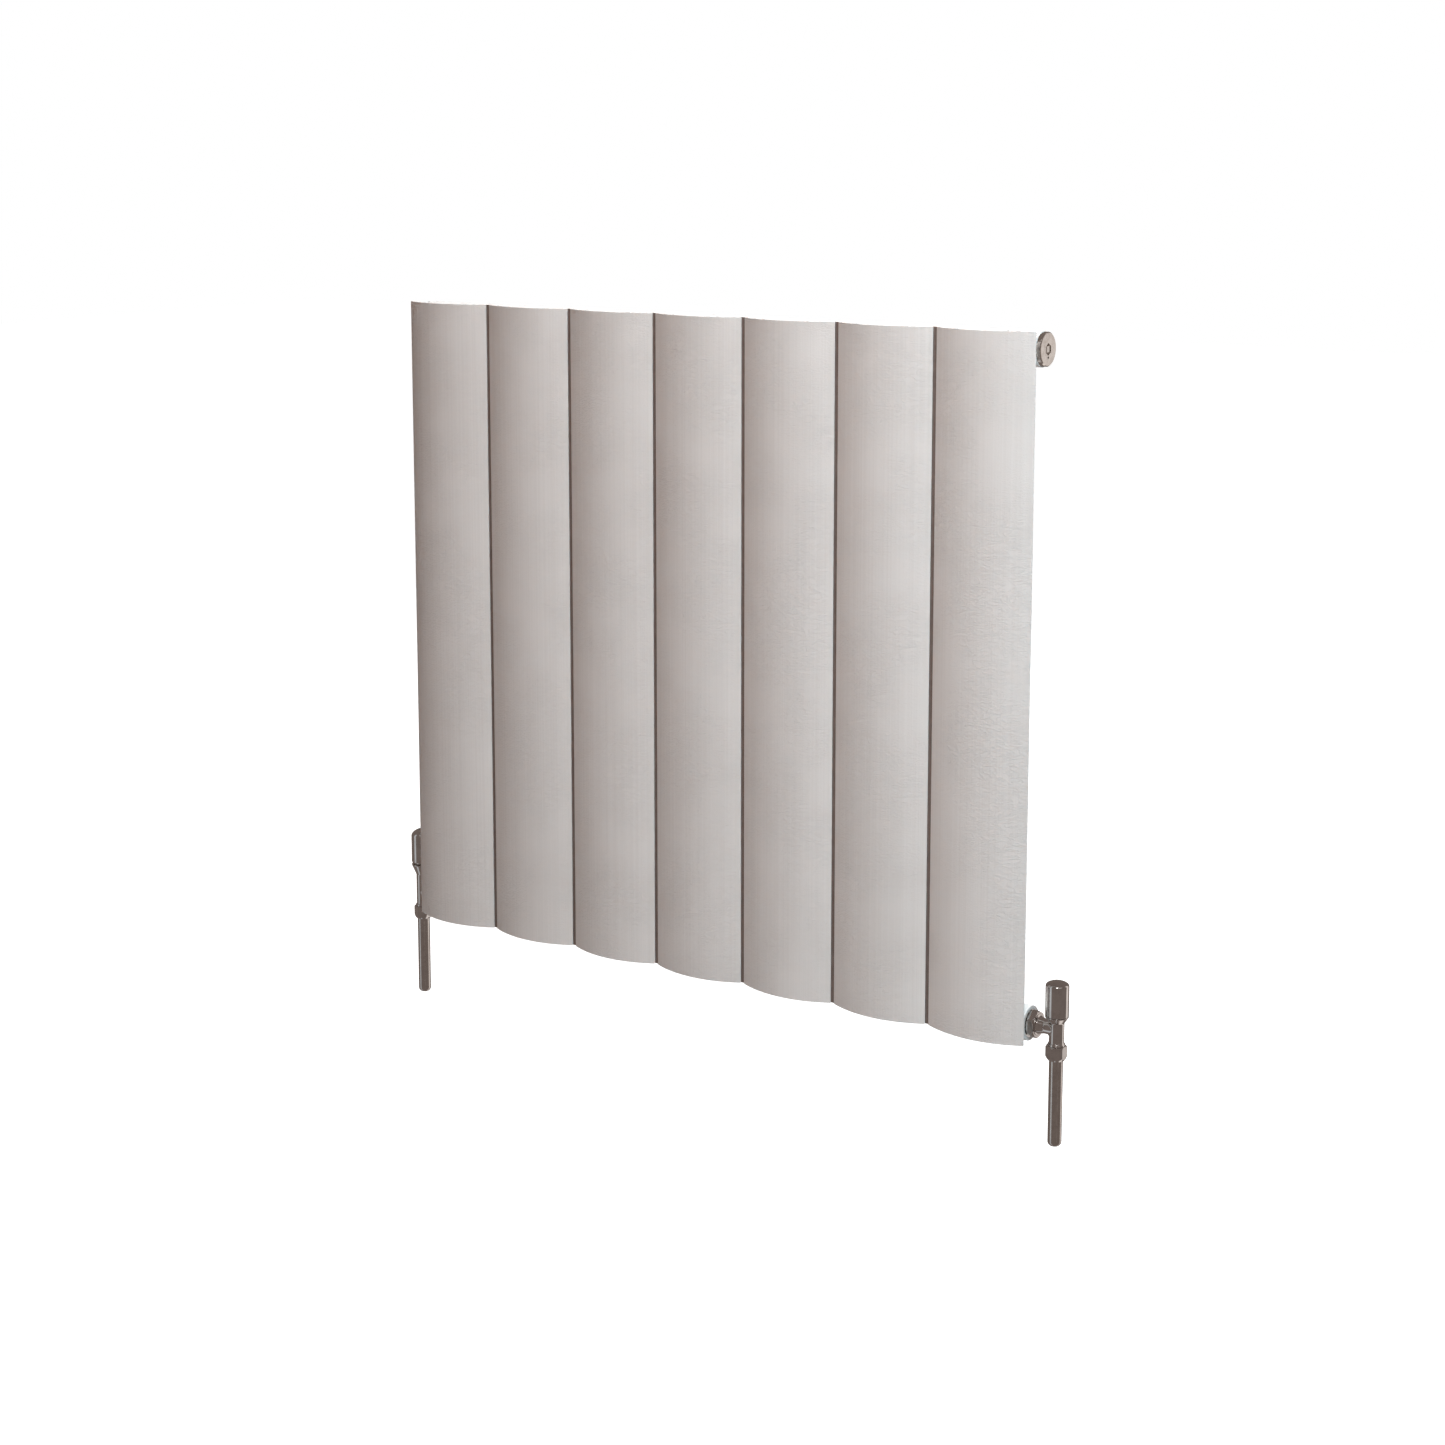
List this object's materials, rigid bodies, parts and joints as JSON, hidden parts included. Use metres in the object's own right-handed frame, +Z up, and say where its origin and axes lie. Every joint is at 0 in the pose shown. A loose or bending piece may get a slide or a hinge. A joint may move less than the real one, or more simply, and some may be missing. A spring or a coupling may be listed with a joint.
{
  "type": "radiator with valves",
  "caption": "Wall-hung panel radiator with curved vertical sections, round headers, a vent plug, wall brackets and a pair of chrome angle valves with pipe tails.",
  "frame": {"origin": "centre of the four wall fixing holes, in the wall plane", "axes": "+Z up, +Y into the wall, +X along the radiator towards the vent plug and the lockshield valve; the front faces -Y"},
  "size_m": [0.7196, 0.086, 0.6914],
  "materials": {
    "panel_paint": "matt off-white powder coat with a fine texture",
    "cap_paint": "matt off-white powder coat",
    "header_paint": "matt off-white powder coat",
    "bush_metal": "turned, partly over-painted",
    "bracket_paint": "white powder coat",
    "liner_plastic": "moulded nylon",
    "screw_steel": "zinc plated",
    "plug_chrome": "polished nickel chrome",
    "valve_chrome": "polished chrome plate",
    "cap_chrome": "polished chrome plate",
    "pipe_chrome": "polished chrome plated copper",
    "brass": "machined",
    "seal_rubber": "moulded rubber",
    "joint_seal": "matt extruded rubber",
    "seal_fibre": "pressed fibre"
  },
  "bodies": {
    "radiator": {"blanking_plug": "plug_chrome", "blanking_plug_ring": "seal_rubber", "bracket_liner_lower_left": "liner_plastic", "bracket_liner_lower_right": "liner_plastic", "bracket_liner_upper_left": "liner_plastic", "bracket_liner_upper_right": "liner_plastic", "bracket_lock_screws": "screw_steel", "bracket_lower_left": "bracket_paint", "bracket_lower_right": "bracket_paint", "bracket_upper_left": "bracket_paint", "bracket_upper_right": "bracket_paint", "bush_bottom_left": "bush_metal", "bush_bottom_right": "bush_metal", "bush_top_left": "bush_metal", "bush_top_right": "bush_metal", "channel_caps_bottom": "cap_paint", "channel_caps_top": "cap_paint", "header_bottom": "header_paint", "header_top": "header_paint", "joint_strips": "joint_seal", "lockshield_valve_body": "valve_chrome", "lockshield_valve_bonnet": "brass", "lockshield_valve_compression_nut": "valve_chrome", "lockshield_valve_gland_nut": "brass", "lockshield_valve_olive": "brass", "lockshield_valve_pipe": "pipe_chrome", "lockshield_valve_stem_seal": "seal_rubber", "lockshield_valve_tail": "valve_chrome", "lockshield_valve_tail_seal": "seal_fibre", "lockshield_valve_union_nut": "valve_chrome", "section_1": "panel_paint", "section_2": "panel_paint", "section_3": "panel_paint", "section_4": "panel_paint", "section_5": "panel_paint", "section_6": "panel_paint", "section_7": "panel_paint", "vent_plug": "plug_chrome", "vent_plug_ring": "seal_rubber", "wheel_valve_body": "valve_chrome", "wheel_valve_bonnet": "brass", "wheel_valve_compression_nut": "valve_chrome", "wheel_valve_gland_nut": "brass", "wheel_valve_olive": "brass", "wheel_valve_pipe": "pipe_chrome", "wheel_valve_stem_seal": "seal_rubber", "wheel_valve_tail": "valve_chrome", "wheel_valve_tail_seal": "seal_fibre", "wheel_valve_union_nut": "valve_chrome"},
    "wheel_head_assembly": {"wheel_head": "cap_chrome", "wheel_head_screw": "screw_steel", "wheel_valve_spindle": "brass"},
    "wheel_valve_disc": {"wheel_valve_jumper": "brass", "wheel_valve_washer": "seal_rubber"},
    "lockshield_cover": {"lockshield_cap": "cap_chrome"},
    "lockshield_stem": {"lockshield_valve_spindle": "brass"},
    "lockshield_disc": {"lockshield_valve_jumper": "brass", "lockshield_valve_washer": "seal_rubber"},
    "bleed_screw": {"bleed_screw": "plug_chrome"}
  },
  "joints": [
    {"name": "wheel_head_turn", "type": "hinge", "parent": "radiator", "child": "wheel_head_assembly", "pos_m": [-0.3494, -0.05, -0.2577], "axis": [0, 0, -1], "range_deg": [0, 900]},
    {"name": "wheel_disc_lift", "type": "slide", "parent": "radiator", "child": "wheel_valve_disc", "axis": [0, 0, -1], "range_m": [0, 0.0025]},
    {"name": "lockshield_cap_pull", "type": "slide", "parent": "radiator", "child": "lockshield_cover", "axis": [0, 0, 1], "range_m": [0, 0.045]},
    {"name": "lockshield_spindle_turn", "type": "hinge", "parent": "radiator", "child": "lockshield_stem", "pos_m": [0.3494, -0.05, -0.2747], "axis": [0, 0, -1], "range_deg": [0, 900]},
    {"name": "lockshield_disc_lift", "type": "slide", "parent": "radiator", "child": "lockshield_disc", "axis": [0, 0, -1], "range_m": [0, 0.0025]},
    {"name": "bleed_screw_turn", "type": "hinge", "parent": "radiator", "child": "bleed_screw", "pos_m": [0.3254, -0.05, 0.286], "axis": [1, 0, 0], "range_deg": [0, 360]}
  ],
  "couplings": [
    {"joint": "wheel_head_turn", "follows": "wheel_disc_lift", "rad_per_m": 6283.2},
    {"joint": "lockshield_spindle_turn", "follows": "lockshield_disc_lift", "rad_per_m": 6283.2}
  ]
}
